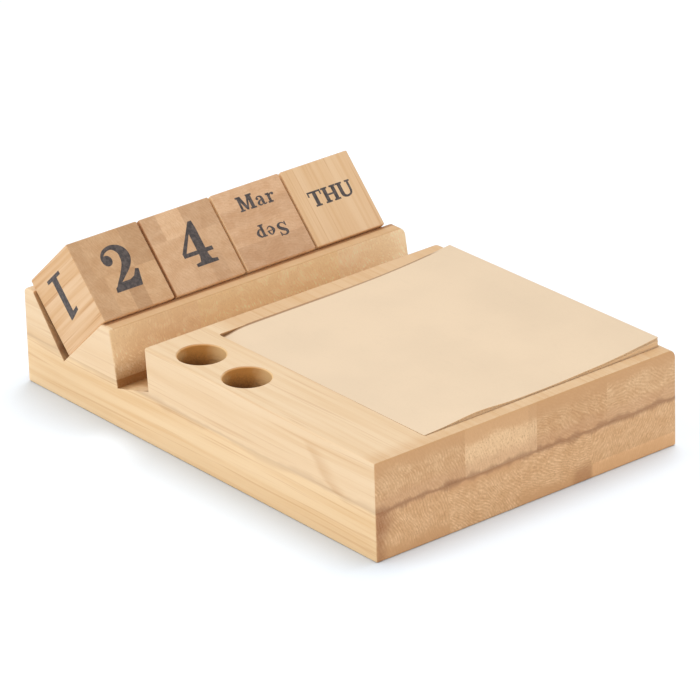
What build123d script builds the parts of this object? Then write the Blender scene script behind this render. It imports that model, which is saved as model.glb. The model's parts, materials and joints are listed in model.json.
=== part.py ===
from build123d import *
import math
import os

# Desk calendar: four loose cubes in a V groove, on a glued bamboo block that also has a slanted slot
# for a telephone, two pen holes and a tray with a memo pad.
# Millimetres. +X runs along the row of cubes, +Y from the front to the back, +Z up.
# The origin is the middle of the underside.

# The four loose cubes and the groove that they lie in
cube_side = 25.4
cube_gap = 0.8  # between neighbours in the row
cube_edge_round = 0.5
cube_names = ["day_cube_tens", "day_cube_units", "month_cube", "weekday_cube"]
row_inset = 1.0  # left end of the block to the first cube
row_end_space = 5.0  # last cube to the right end of the block, at least
groove_front_angle = 43.0  # degrees from level, the wall that the cubes lie flat on
groove_back_angle = 52.0  # degrees from level, steeper, so that only its top edge holds the cubes
groove_wall_spare = 0.4  # how much longer the front wall is than a cube
seat_clearance = 0.1  # between a cube and the wall or the edge that it rests on

# The glued block
layer_thickness = 15.0  # two layers, one glued on the other
strip_width = 26.0  # each layer is glued from strips of this width
ridge_top_width = 4.2
rail_top_width = 4.4
edge_round = 0.6
deck_rear_round = 0.8
ridge_front_round = 0.5
lip_round = 0.4  # along both edges of the groove
right_top_round = 2.8
back_top_round = 1.5  # also down the upright edge at the right of the back

# The slanted slot
slot_mouth = 16.3
slot_front_lean = 4.0  # degrees, both walls lean back
slot_rear_lean = 9.5
slot_front_depth = 13.6
slot_rear_depth = 17.4  # deeper at the rear, so that the floor falls towards the rear wall

# The pen holes
pen_hole_radius = 7.0
pen_hole_floor = 8.0  # wood left under the holes
pen_hole_side_margin = 2.3  # left face to the hole
pen_hole_tray_margin = 4.9  # hole to the tray
pen_hole_rear_margin = 7.9  # hole to the slot
pen_hole_spacing = 6.6  # wood between the two holes
pen_hole_break = 0.4

# The tray and the memo pad in it
pad_width = 85.7
pad_length = 90.0
pad_side_gap = 0.4
pad_front_gap = 0.35
pad_rear_gap = 0.65
tray_depth = 12.0
tray_corner_round = 1.0
tray_front_rim = 4.1
tray_rear_rim = 7.4
tray_right_rim = 2.3
pad_card_thickness = 1.0
pad_glue_thickness = 0.25
pad_top_sheets_thickness = 0.5
pad_recess = 0.4  # the pad's flat left side lies this much under the rim
pad_curl_length = 51.0  # the right part of the pad that bends up
pad_curl_rise = 3.4

same_place = 0.01  # two points nearer than this count as one

# Worked out from the sizes above
block_top = 2 * layer_thickness
row_length = len(cube_names) * (cube_side + cube_gap) - cube_gap
tray_width = pad_width + 2 * pad_side_gap
tray_length = pad_front_gap + pad_length + pad_rear_gap
left_rim = pen_hole_side_margin + 2 * pen_hole_radius + pen_hole_tray_margin
block_width = max(left_rim + tray_width + tray_right_rim, row_inset + row_length + row_end_space)
deck_length = tray_front_rim + tray_length + tray_rear_rim
wall_tilt = math.radians(groove_front_angle)
groove_depth = (cube_side + groove_wall_spare) * math.sin(wall_tilt)
groove_run_front = groove_depth / math.tan(wall_tilt)
groove_run_back = groove_depth / math.tan(math.radians(groove_back_angle))
block_length = (
    deck_length + slot_mouth + ridge_top_width + groove_run_front + groove_run_back + rail_top_width
)
left, right = -block_width / 2, block_width / 2
front, back = -block_length / 2, block_length / 2

# Corners of the section across the block, each as (y, z)
slot_front_top = (front + deck_length, block_top)
slot_front_foot = (
    slot_front_top[0] - slot_front_depth * math.tan(math.radians(slot_front_lean)),
    block_top - slot_front_depth,
)
ridge_front_top = (slot_front_top[0] + slot_mouth, block_top)
slot_rear_foot = (
    ridge_front_top[0] - slot_rear_depth * math.tan(math.radians(slot_rear_lean)),
    block_top - slot_rear_depth,
)
ridge_back_top = (ridge_front_top[0] + ridge_top_width, block_top)
groove_bottom = (ridge_back_top[0] + groove_run_front, block_top - groove_depth)
lip = (groove_bottom[0] + groove_run_back, block_top)


# The plain block with its large rounds at the right and the back, and a small one on every other edge
def rounded_board():
    board = Pos(0, 0, block_top / 2) * Box(block_width, block_length, block_top)
    along = board.edges().filter_by(Axis.Y).sort_by(lambda edge: edge.center().X + edge.center().Z)
    board = fillet(along[-1], right_top_round)
    across = board.edges().filter_by(Axis.X).sort_by(lambda edge: edge.center().Y + edge.center().Z)
    board = fillet(across[-1], back_top_round)
    return fillet([edge for edge in board.edges() if not runs_out_flat(edge)], edge_round)


# Whether an edge is only the line where one of the large rounds runs out into a flat face
def runs_out_flat(edge):
    middle = edge.center()
    lines = [
        (middle.X - (right - right_top_round), middle.Z - block_top),
        (middle.X - right, middle.Z - (block_top - right_top_round)),
        (middle.Y - (back - back_top_round), middle.Z - block_top),
        (middle.Y - back, middle.Z - (block_top - back_top_round)),
    ]
    return any(math.hypot(*offset) < same_place for offset in lines)


# A cut that runs the whole width, from its section's lower corners and the slopes of its two walls
def cut_across(front_foot, front_top, rear_foot, rear_top):
    def past_top(foot, top):
        return (2 * top[0] - foot[0], 2 * top[1] - foot[1])

    corners = [front_foot, rear_foot, past_top(rear_foot, rear_top), past_top(front_foot, front_top)]
    if front_foot == rear_foot:
        corners = corners[1:]
    outline = make_face(Polyline(*corners, close=True))
    return extrude(Plane.YZ * outline, amount=block_width, both=True)


# The block as it is milled: the slot and the groove, with their upper edges rounded
def milled_board():
    board = rounded_board()
    board -= cut_across(slot_front_foot, slot_front_top, slot_rear_foot, ridge_front_top)
    board -= cut_across(groove_bottom, ridge_back_top, groove_bottom, lip)
    rounds = [
        ([ridge_back_top, lip], lip_round),
        ([ridge_front_top], ridge_front_round),
        ([slot_front_top], deck_rear_round),
    ]
    for corners, radius in rounds:
        upper_edges = [board.edges().sort_by_distance(Vector(0, *corner))[0] for corner in corners]
        board = fillet(upper_edges, radius)
    return board


# The tray's space, open at the top
def tray_space():
    middle_x = right - tray_right_rim - tray_width / 2
    middle_y = front + tray_front_rim + tray_length / 2
    floor = RectangleRounded(tray_width, tray_length, tray_corner_round)
    return Pos(middle_x, middle_y, block_top - tray_depth) * extrude(floor, amount=2 * tray_depth)


# One blind pen hole with its broken edge, given the y of its axis
def pen_hole_space(axis_y):
    axis_x = left + pen_hole_side_margin + pen_hole_radius
    depth = block_top - pen_hole_floor
    hole = Pos(axis_x, axis_y, pen_hole_floor + depth / 2) * Cylinder(pen_hole_radius, depth)
    flare = Cone(pen_hole_radius, pen_hole_radius + 2 * pen_hole_break, 2 * pen_hole_break)
    return hole + Pos(axis_x, axis_y, block_top) * flare


# The strips of one layer, as (left x, right x), with full widths counted from one side.
# What is left over widens the last strip, so that no seam of the upper layer runs into the pen holes.
def strip_spans(from_left):
    count = max(1, int(block_width // strip_width))
    if from_left:
        seams = [left + strip_width * k for k in range(1, count)]
    else:
        seams = [right - strip_width * k for k in range(count - 1, 0, -1)]
    return list(zip([left, *seams], [*seams, right]))


# What a box takes out of the block, given the box's range along each axis
def cell(form, span_x, span_y, span_z):
    size = [high - low for low, high in (span_x, span_y, span_z)]
    middle = [(high + low) / 2 for low, high in (span_x, span_y, span_z)]
    return form & (Pos(*middle) * Box(*size))


# One cube, turned to lie flat on the front wall and to touch the edge of the back rail
def seated_cube(place_in_row):
    up_wall = (-math.cos(wall_tilt), math.sin(wall_tilt))
    off_wall = (math.sin(wall_tilt), math.cos(wall_tilt))
    lip_along_wall = (lip[0] - groove_bottom[0]) * up_wall[0] + (lip[1] - groove_bottom[1]) * up_wall[1]
    along = lip_along_wall + seat_clearance + cube_side / 2
    away = seat_clearance + cube_side / 2
    middle_y = groove_bottom[0] + up_wall[0] * along + off_wall[0] * away
    middle_z = groove_bottom[1] + up_wall[1] * along + off_wall[1] * away
    middle_x = left + row_inset + cube_side / 2 + place_in_row * (cube_side + cube_gap)
    cube = Box(cube_side, cube_side, cube_side)
    cube = fillet(cube.edges(), cube_edge_round)
    return Pos(middle_x, middle_y, middle_z) * Rot(-groove_front_angle, 0, 0) * cube


# A line through the pad from its left to its right side: flat at the given level, then bending up
def curl_line(pad_left, pad_right, level):
    bend_start = (pad_right - pad_curl_length, level)
    flat = Line((pad_left, level), bend_start)
    return flat + TangentArc(bend_start, (pad_right, level + pad_curl_rise), tangent=(1, 0))


# A layer of the pad as one solid, given its lower and upper lines, running the pad's length
def pad_layer(lower, upper):
    ends = [Line(lower @ 0, upper @ 0), Line(lower @ 1, upper @ 1)]
    outline = make_face(lower.edges() + upper.edges() + ends)
    rear = front + tray_front_rim + pad_front_gap + pad_length
    return Pos(0, rear, 0) * extrude(Plane.XZ * outline, amount=pad_length)


# The memo pad: a card, the sheets, the loose top sheets and the gummed left edge
def memo_pad():
    pad_right = right - tray_right_rim - pad_side_gap
    pad_left = pad_right - pad_width
    sheets_left = pad_left + pad_glue_thickness
    tray_floor = block_top - tray_depth
    card_top = tray_floor + pad_card_thickness
    pad_top = block_top - pad_recess
    block_level = pad_top - pad_top_sheets_thickness
    card = Line((pad_left, tray_floor), (pad_right, tray_floor))
    card_upper = Line((pad_left, card_top), (pad_right, card_top))
    sheets_lower = Line((sheets_left, card_top), (pad_right, card_top))
    sheets_upper = curl_line(sheets_left, pad_right, block_level)
    glue_lower = Line((pad_left, card_top), (sheets_left, card_top))
    glue_upper = Line((pad_left, block_level), (sheets_left, block_level))
    return {
        "pad_backing_card": pad_layer(card, card_upper),
        "pad_sheet_block": pad_layer(sheets_lower, sheets_upper),
        "pad_top_sheets": pad_layer(sheets_upper, curl_line(sheets_left, pad_right, pad_top)),
        "pad_glue_edge": pad_layer(glue_lower, glue_upper),
    }


def save(name, solid):
    export_step(solid, f"parts/{name}.step")


os.makedirs("parts", exist_ok=True)

rear_hole_y = front + deck_length - pen_hole_rear_margin - pen_hole_radius
front_hole_y = rear_hole_y - 2 * pen_hole_radius - pen_hole_spacing
block = milled_board() - tray_space() - pen_hole_space(rear_hole_y) - pen_hole_space(front_hole_y)

lower = (0, layer_thickness)
upper = (layer_thickness, block_top)
for number, span in enumerate(strip_spans(from_left=True), 1):
    save(f"lower_strip_{number}", cell(block, span, (front, back), lower))
for number, span in enumerate(strip_spans(from_left=False), 1):
    save(f"deck_strip_{number}", cell(block, span, (front, slot_rear_foot[0]), upper))
    save(f"ridge_strip_{number}", cell(block, span, (slot_rear_foot[0], groove_bottom[0]), upper))
    save(f"rail_strip_{number}", cell(block, span, (groove_bottom[0], back), upper))

for place, name in enumerate(cube_names):
    save(name, seated_cube(place))

for name, solid in memo_pad().items():
    save(name, solid)
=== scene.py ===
import json
import math

import bpy
from mathutils import Matrix, Vector


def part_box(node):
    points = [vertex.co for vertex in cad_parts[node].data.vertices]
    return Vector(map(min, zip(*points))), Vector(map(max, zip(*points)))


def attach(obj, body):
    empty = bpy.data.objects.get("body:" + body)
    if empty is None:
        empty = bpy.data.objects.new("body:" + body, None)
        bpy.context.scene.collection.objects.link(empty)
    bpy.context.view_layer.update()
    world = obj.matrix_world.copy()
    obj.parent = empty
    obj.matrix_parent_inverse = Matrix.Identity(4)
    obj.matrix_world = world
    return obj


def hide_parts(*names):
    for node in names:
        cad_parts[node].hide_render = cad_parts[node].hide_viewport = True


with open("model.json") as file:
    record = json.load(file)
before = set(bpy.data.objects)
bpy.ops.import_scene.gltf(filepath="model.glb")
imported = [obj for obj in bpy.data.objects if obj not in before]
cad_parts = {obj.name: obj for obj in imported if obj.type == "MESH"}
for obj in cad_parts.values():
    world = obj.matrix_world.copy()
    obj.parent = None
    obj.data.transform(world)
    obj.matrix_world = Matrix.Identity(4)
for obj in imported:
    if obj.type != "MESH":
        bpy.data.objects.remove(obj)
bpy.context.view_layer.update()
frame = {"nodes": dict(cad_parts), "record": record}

mm = 0.001  # metres in a millimetre


# Small helpers

def deselectAll():
    if bpy.context.object and bpy.context.object.mode != "OBJECT":
        bpy.ops.object.mode_set(mode="OBJECT")
    bpy.ops.object.select_all(action="DESELECT")


def pick(*objects):  # select these objects alone, the first one active
    deselectAll()
    for thing in objects:
        thing.select_set(True)
    bpy.context.view_layer.objects.active = objects[0]


def editAll():  # edit mode, with the whole mesh selected
    bpy.ops.object.mode_set(mode="EDIT")
    bpy.ops.mesh.select_all(action="SELECT")


def leaveEdit():
    bpy.ops.object.mode_set(mode="OBJECT")


def coat(thing, material):  # this finish and no other
    thing.data.materials.clear()
    thing.data.materials.append(material)


def paint(red, green, blue):  # a colour as seen on a screen, 0 to 255, as the shader wants it
    screen = [value / 255 for value in (red, green, blue)]
    linear = [s / 12.92 if s <= 0.04045 else ((s + 0.055) / 1.055) ** 2.4 for s in screen]
    return (*linear, 1.0)


# Shader maths: a wire is a socket of a node, and Python sums and products on it add Math nodes

class Wire:
    def __init__(self, finish, socket):
        self.finish = finish
        self.socket = socket

    def maths(self, operation, *values):
        return self.finish.add("ShaderNodeMath", {"operation": operation}, dict(enumerate(values)))

    def wave(self):
        return self.maths("SINE", self)

    def __add__(self, other):
        return self.maths("ADD", self, other)

    def __radd__(self, other):
        return self.maths("ADD", other, self)

    def __sub__(self, other):
        return self.maths("SUBTRACT", self, other)

    def __rsub__(self, other):
        return self.maths("SUBTRACT", other, self)

    def __mul__(self, other):
        return self.maths("MULTIPLY", self, other)

    def __rmul__(self, other):
        return self.maths("MULTIPLY", other, self)

    def __pow__(self, other):
        return self.maths("POWER", self, other)

    def __rpow__(self, other):
        return self.maths("POWER", other, self)

    def __abs__(self):
        return self.maths("ABSOLUTE", self)


class Finish:  # the nodes of a material or of the world
    def __init__(self, owner):
        self.owner = owner
        owner.use_nodes = True
        self.tree = owner.node_tree
        self.tree.nodes.clear()

    def add(self, kind, settings=None, sockets=None, out=0):
        node = self.tree.nodes.new(kind)
        for key, value in (settings or {}).items():
            setattr(node, key, value)
        for key, value in (sockets or {}).items():
            if isinstance(value, Wire):
                self.tree.links.new(value.socket, node.inputs[key])
            else:
                node.inputs[key].default_value = value
        return Wire(self, node.outputs[out]) if len(node.outputs) > 0 else None

    def coords(self):  # a point's place on its piece, in metres
        return self.add("ShaderNodeTexCoord", None, None, 3)

    def facing(self):  # the way that the surface looks there
        return self.add("ShaderNodeTexCoord", None, None, 1)

    def split(self, vector):
        node = self.add("ShaderNodeSeparateXYZ", None, {0: vector}).socket.node
        return [Wire(self, socket) for socket in node.outputs]

    def join(self, x, y, z):
        return self.add("ShaderNodeCombineXYZ", None, {0: x, 1: y, 2: z})

    def ramp(self, value, low, high, toLow=0.0, toHigh=1.0):  # a soft step between two values
        sockets = {"Value": value, "From Min": low, "From Max": high, "To Min": toLow, "To Max": toHigh}
        return self.add("ShaderNodeMapRange", {"interpolation_type": "SMOOTHSTEP"}, sockets)

    def noise(self, place, scale, detail=2.0, roughness=0.5, out=0):
        sockets = {"Vector": place, "Scale": scale, "Detail": detail, "Roughness": roughness}
        return self.add("ShaderNodeTexNoise", None, sockets, out)

    def blend(self, factor, first, second, way="MIX"):
        settings = {"data_type": "RGBA", "blend_type": way}
        return self.add("ShaderNodeMix", settings, {0: factor, 6: first, 7: second}, 2)

    def surface(self, colour, roughness, height, heightMm, strength):
        bump = {"Height": height, "Distance": heightMm * mm, "Strength": strength}
        normal = self.add("ShaderNodeBump", None, bump)
        sockets = {"Base Color": colour, "Roughness": roughness, "Normal": normal}
        shader = self.add("ShaderNodeBsdfPrincipled", None, sockets)
        self.add("ShaderNodeOutputMaterial", None, {"Surface": shader})
        return self.owner


print("helpers ready")

# Bamboo

cubeLow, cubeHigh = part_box("day_cube_tens")
cubeSide = round((cubeHigh.x - cubeLow.x) / mm, 3)
layerMeet = 15.0  # the height where the two layers of the block are glued

woodLook = {
    "long": (247, 218, 179),
    "longDark": (231, 192, 142),
    "longLine": (211, 163, 110),
    "end": (208, 161, 112),
    "endLight": (240, 203, 158),
    "endDark": (156, 103, 60),
    "skin": (207, 160, 113),  # the smooth dense wood at the outside of the culm
    "glue": (138, 86, 46),
    "smear": (203, 152, 110),  # smoother wood that took up some of the glue
    "scorch": (214, 148, 70),  # where the drill has browned the wood
    # painted light on the lit side of a bore, and painted shade deep down in it
    "borePaintedLight": (250, 208, 146),
    "borePaintedShade": (96, 52, 18),
    "gapShade": (108, 70, 34),  # painted shade in the groove behind the cubes, in the gap behind the pad and at the foot of the slot's front wall
    "honey": (214, 162, 104),
    # brown marks at a knot and at the front left corner, painted shade under the cubes and along the tray's
    # rear edge, and a darker line along the deck's edge at the mouth of the slot
    "brownAndShade": (150, 88, 40),
    # painted shade at the foot of the slot's rear wall and on the slot's floor
    "char": (150, 98, 40),
    # painted shade along the edges where the cubes meet: a dark one, and a pale one close to the wood's own
    # tone
    "seamShade": (182, 124, 74),
    "paleSeamShade": (240, 206, 162),
    # Patterns of the fibres: how fine across and along them, for each millimetre, then detail and roughness
    "broad": (0.16, 0.009, 2.0, 0.5),
    "bands": (0.55, 0.014, 2.0, 0.5),
    "fine": (2.4, 0.04, 2.0, 0.6),
    "lines": (1.1, 0.018, 1.0, 0.5),
    "pores": (2.0, 0.02, 3.0, 0.65),
    "drift": 3.0,  # how far the fibres wander, in millimetres, and the bundles in the end grain
    "bend": 8.0,
    "dashWide": 0.62,  # the fibre bundles in the end grain, in millimetres
    "dashLong": 1.5,
    "rowStep": 0.85,
    "skinShare": 0.8,
    "glueWide": (0.7, 3.0),  # the glue line at its thinnest and its widest, half of it
    "glueShare": (0.2, 0.36),  # its strength everywhere, and what the end grain adds
    "smearAt": 1.8,  # above the glue line
    "smearShare": 0.42,
    "boreShadeHeights": (21.0, 28.5),  # heights between which the painted shade on the wall of a bore goes from dark to light
    "boreLitSide": (0.78, 0.62),  # the way to the side of a bore that gets painted light, to the right and to the front
    "boreShare": 0.92,
    "seamShadeFrom": (1.8, 0.8),  # from the rim of a cube's side to where the painted shade at a seam begins and where it is full
    "seamShadeShare": 0.8,
    "roughness": (0.52, 0.12),  # the least, and what the fine fibres add
    "grainHeight": 0.03,
}

# Boxes of coloured wood, not on the left and right sides of the block: left, right, front, back, low, high,
# softness, strength and colour. The knot, corner, glue and honey boxes are the wood's own colour; slotFoot,
# slotFloor, grooveBack, ridgeBack, trayRear, trayEdge and deckRear are painted shade in the slot, in the
# groove, behind the pad and under the cubes, and deckEdge darkens the deck's edge at the mouth of the slot
stains = {
    "slotFoot": (-60.0, 60.0, 32.0, 42.0, 4.0, 17.4, 5.0, 0.9, "char"),
    "slotFloor": (-50.5, 60.0, 18.0, 35.4, 11.0, 17.0, 1.5, 0.5, "char"),
    "grooveBack": (-60.0, 60.0, 60.0, 75.3, 12.0, 29.7, 0.2, 0.45, "gapShade"),
    "ridgeBack": (-54.0, 60.0, 41.6, 44.5, 28.5, 31.0, 0.35, 0.55, "brownAndShade"),
    "ridgeTop": (-53.6, 60.0, 38.5, 44.5, 29.6, 31.0, 0.2, 0.6, "honey"),
    "deckEdge": (-60.0, 60.0, 21.9, 24.0, 29.0, 31.0, 0.4, 0.5, "brownAndShade"),
    "deckRim": (-28.0, 60.0, 13.0, 24.0, 27.0, 35.0, 3.0, 0.42, "honey"),
    "trayRear": (-34.5, 53.5, 14.4, 15.4, 17.0, 29.7, 0.25, 0.65, "gapShade"),
    "trayEdge": (-24.0, 60.0, 14.4, 15.5, 29.5, 31.0, 0.3, 0.5, "brownAndShade"),
    "frontTop": (-60.0, 60.0, -81.0, -76.0, 29.0, 31.0, 3.5, 0.6, "honey"),
    "deckRear": (-60.0, -53.0, 20.0, 23.5, 12.0, 17.5, 1.5, 0.4, "gapShade"),
    "cornerTop": (-56.0, -49.0, -81.0, -79.5, 8.0, 15.0, 3.0, 0.75, "brownAndShade"),
    "cornerSide": (-56.0, -52.0, -81.0, -79.5, -1.0, 15.0, 2.2, 0.75, "brownAndShade"),
    "blotchLeft": (-30.0, -25.6, -81.0, -79.5, 13.9, 15.8, 1.1, 0.5, "glue"),
    "blotchRight": (28.0, 32.0, -81.0, -79.5, 14.2, 16.0, 1.1, 0.45, "glue"),
    "knotRight": (16.5, 23.4, -81.0, -79.5, -1.0, 5.0, 1.8, 0.5, "brownAndShade"),
}


def wood(name):
    return paint(*woodLook[name])


def glueLine(finish, colour, places, endness, seed, glueAt):  # ragged, with the smear above it
    across, along, up = places
    spread = finish.noise(finish.join(across * 0.16, along * 0.05, seed), 1.0, 3.0)
    wave = finish.noise(finish.join(across * 0.09, along * 0.02, 3.0), 1.0, 2.0)
    line = 1 - finish.ramp(abs(up - glueAt + (wave - 0.5) * 2.0), 0.0,
                           finish.ramp(spread, 0.4, 0.65, *woodLook["glueWide"]))
    smear = 1 - finish.ramp(abs(up - glueAt - woodLook["smearAt"]) + (spread - 0.5) * 4.0, 0.6, 4.2)
    colour = finish.blend(smear * endness * woodLook["smearShare"], colour, wood("smear"))
    everywhere, atEnds = woodLook["glueShare"]
    return finish.blend(line * (endness * atEnds + everywhere), colour, wood("glue"))


def boreWall(finish, colour, places, bands, fine, bore):  # browned by the drill, with painted light on the side where light falls in and painted shade further down
    across, along, up = places
    x, y, radius = bore
    rightward, frontward = woodLook["boreLitSide"]
    away = ((across - x) ** 2.0 + (along - y) ** 2.0) ** 0.5
    inside = 1 - finish.ramp(away, radius + 0.05, radius + 0.45)
    side = (across - x) * (rightward / radius) - (along - y) * (frontward / radius) + (bands - 0.5) * 0.6
    # painted light on the side where light falls into the bore, and a painted glow at its far left edge
    paintedLight = finish.ramp(side, 0.1, 0.85) + finish.ramp(side, -0.6, -1.0) * 0.6
    wall = finish.blend(paintedLight, wood("scorch"), wood("borePaintedLight"))
    # painted shade, darker further down the bore
    deep = 1 - finish.ramp(up + (fine - 0.5) * 4.0 + side * 1.5, *woodLook["boreShadeHeights"])
    wall = finish.blend(deep, wall, wood("borePaintedShade"))
    return finish.blend(inside * woodLook["boreShare"], colour, wall)


# One piece's bamboo. The fibres run along the piece's own Y, after it is moved and turned as told.
# skin is the height of the dense edge and which way it lies from there: 1 above, -1 below.
# patches are areas of the end grain: left, right, low, high and how much lighter or darker they are.
# speckles are light dots below a height.
# knots are joints of the culm: place along the fibres, height, lean and strength.
# stained names the stains, some of them painted shade, and bores are upright holes with browned walls that
# also carry painted light and painted shade: x, y and radius.
# The last argument gives the sides, -1 left and 1 right, where a loose cube meets its neighbours, and the
# colour of the painted shade along their edges.
def bamboo(name, place=(0, 0, 0), turn=(0, 0, 0), longTone=(1.0, 1.0, 1.0), endTone=(1.0, 1.0, 1.0), seed=0.0,
           glueAt=None, skin=None, lean=1.05, streaks=0.5, light=0.2, dashes=1.0, patches=(), patchSoft=0.35,
           speckles=None, knots=(), stained=(), bores=(), seamShades=()):
    finish = Finish(bpy.data.materials.new(name))
    own = finish.add("ShaderNodeMapping", {"vector_type": "TEXTURE"}, {
        "Vector": finish.coords(), "Location": [p * mm for p in place],
        "Rotation": turn, "Scale": (mm, mm, mm)})
    places = across, along, up = finish.split(own)
    turned = finish.add("ShaderNodeMapping", {"vector_type": "TEXTURE"}, {
        "Vector": finish.facing(), "Rotation": turn})
    facingAcross, facingAlong, _ = finish.split(turned)
    endness = finish.ramp(abs(facingAlong), 0.5, 0.8)

    # The fibres wander a little along their length
    slow = finish.join(across * 0.05, along * 0.012 + seed * 3.7, up * 0.05)
    drift = finish.split(finish.noise(slow, 1.0, 1.0, 0.5, out=1))
    u = across + (drift[0] - 0.5) * woodLook["drift"] + seed * 17.3
    v = up + (drift[1] - 0.5) * woodLook["drift"] + seed * 5.9

    def pattern(kind, shift=None):
        wide, long, detail, roughness = woodLook[kind]
        start = u * wide if shift is None else u * wide + shift
        return finish.noise(finish.join(start, along * long, v * wide), 1.0, detail, roughness)

    # Along the fibres: broad soft bands, fine lines and a few sharp ones
    broad, bands, fine = pattern("broad"), pattern("bands"), pattern("fine")
    lines = pattern("lines", 40.0)
    longMix = (finish.ramp(broad, 0.35, 0.7) * 0.5 + finish.ramp(bands, 0.4, 0.72) * 0.6) * (streaks * 1.4)
    longWood = finish.blend(longMix, wood("long"), wood("longDark"))
    sharp = finish.ramp(lines, 0.58, 0.72) * 0.7 + finish.ramp(fine, 0.55, 0.8) * 0.35
    longWood = finish.blend(sharp * streaks, longWood, wood("longLine"))
    for y, z, tilt, strength in knots:
        past = (along - y) * -1 - (up - z) * tilt + (broad - 0.5) * 8.0
        mark = finish.ramp(past, -1.5, 1.5) * (1 - finish.ramp(past, 1.5, 9.0)) * (fine * 0.8 + 0.4)
        mark = mark * (1 - finish.ramp(up, z + 0.5, z + 4.0))
        longWood = finish.blend(mark * strength, longWood, wood("longLine"))
    longWood = finish.blend(1.0, longWood, (*longTone, 1.0), "MULTIPLY")

    # Across them: the cut bundles show as leaning dashes in rows, light on tan, with small dark pores
    bend = finish.split(finish.noise(finish.join(u * 0.07, seed, v * 0.07), 1.0, 1.0, 0.5, out=1))
    du = u + (bend[0] - 0.5) * woodLook["bend"]
    dv = v + (bend[1] - 0.5) * woodLook["bend"]
    lengthwise = du * math.cos(lean) - dv * math.sin(lean)
    sidewise = du * math.sin(lean) + dv * math.cos(lean)
    cell = finish.join(sidewise * (1 / woodLook["dashWide"]), seed, lengthwise * (1 / woodLook["dashLong"]))
    bundles = finish.add("ShaderNodeTexVoronoi", None, {"Vector": cell, "Scale": 1.0, "Randomness": 0.85})
    wobble = finish.noise(finish.join(u * 0.25, seed, v * 0.25), 1.0, 2.0, 0.5)
    rows = (sidewise * (2 * math.pi / woodLook["rowStep"]) + wobble * 14.0).wave()
    dash = (1 - finish.ramp(bundles, 0.15, 0.62)) * 0.6 + finish.ramp(rows, -0.5, 0.7) * 0.4
    pores = pattern("pores")
    patch = finish.noise(finish.join(u * 0.22, seed * 1.3, v * 0.35), 1.0, 2.0, 0.5)
    endMix = dash * (0.5 * dashes) + finish.ramp(patch, 0.3, 0.7) * 0.3 + (light - 0.1)
    endWood = finish.blend(endMix, wood("end"), wood("endLight"))
    dark = finish.ramp(pores, 0.5, 0.7) * (0.12 + dashes * 0.15) + (1 - dash) * (0.15 * dashes)
    endWood = finish.blend(dark, endWood, wood("endDark"))
    if skin is not None:
        level, way = skin
        edge = (up - level) * way + (broad - 0.5) * 4.0 + (pores - 0.5) * 3.0
        skinWood = finish.blend(finish.ramp(pores, 0.35, 0.75) * 0.4, wood("skin"), wood("end"))
        endWood = finish.blend(finish.ramp(edge, -1.6, 1.6) * woodLook["skinShare"], endWood, skinWood)
    if speckles is not None:
        below = finish.ramp(up, speckles - 1.5, speckles + 2.5, 1.0, 0.2)
        endWood = finish.blend(finish.ramp(bundles, 0.1, 0.45, 0.4, 0.0) * below, endWood, wood("endLight"))
    for left, right, low, high, step in patches:
        ragged = (pores - 0.5) * (patchSoft * 2)
        beside = 1 - finish.ramp(abs(across - (left + right) / 2) + ragged,
                                 (right - left) / 2 - patchSoft, (right - left) / 2 + patchSoft)
        level = 1 - finish.ramp(abs(up - (low + high) / 2) + ragged,
                                (high - low) / 2 - patchSoft, (high - low) / 2 + patchSoft)
        changed = (1 + step, 1 + step * 1.2, 1 + step * 1.35, 1.0)
        endWood = finish.blend(beside * level, endWood, changed, "MULTIPLY")
    endWood = finish.blend(1.0, endWood, (*endTone, 1.0), "MULTIPLY")
    colour = finish.blend(endness, longWood, endWood)

    if glueAt is not None:
        colour = glueLine(finish, colour, places, endness, seed, glueAt)
    # the stains: real marks, and painted shade in the slot, the groove, behind the pad and under the cubes
    for spot in stained:
        left, right, front, back, low, high, soft, strength, tone = stains[spot]
        inside = (1 - finish.ramp(abs(facingAcross), 0.5, 0.9)) * strength
        for value, least, most in ((across, left, right), (along, front, back), (up, low, high)):
            off = abs(value - (least + most) / 2) - (most - least) / 2 + (pores - 0.5) * soft
            inside = (1 - finish.ramp(off, -soft, soft)) * inside
        colour = finish.blend(inside, colour, wood(tone))
    for bore in bores:
        colour = boreWall(finish, colour, places, bands, fine, bore)
    # painted shade along the edges of a side where the cube meets its neighbour
    for way, tone in seamShades:
        rim = abs(along).maths("MAXIMUM", abs(along), abs(up))
        begins, full = (cubeSide / 2 - inwards for inwards in woodLook["seamShadeFrom"])
        edge = finish.ramp(rim, begins, full) * finish.ramp(facingAcross * way, 0.5, 0.9)
        colour = finish.blend(edge * woodLook["seamShadeShare"], colour, wood(tone))
    least, more = woodLook["roughness"]
    height = fine * 0.5 + dash * 0.3 * endness - sharp * 0.3
    return finish.surface(colour, least + fine * more, height, woodLook["grainHeight"], 0.6)


def dress(nodeName, material):  # give a piece of the frame its finish
    coat(frame["nodes"][nodeName], material)


bores = [(mount["pos_m"][0] / mm, mount["pos_m"][1] / mm, mount["dims"]["r_mm"])
         for mount in frame["record"]["mounts"] if mount["kind"] == "bore"]

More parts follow.
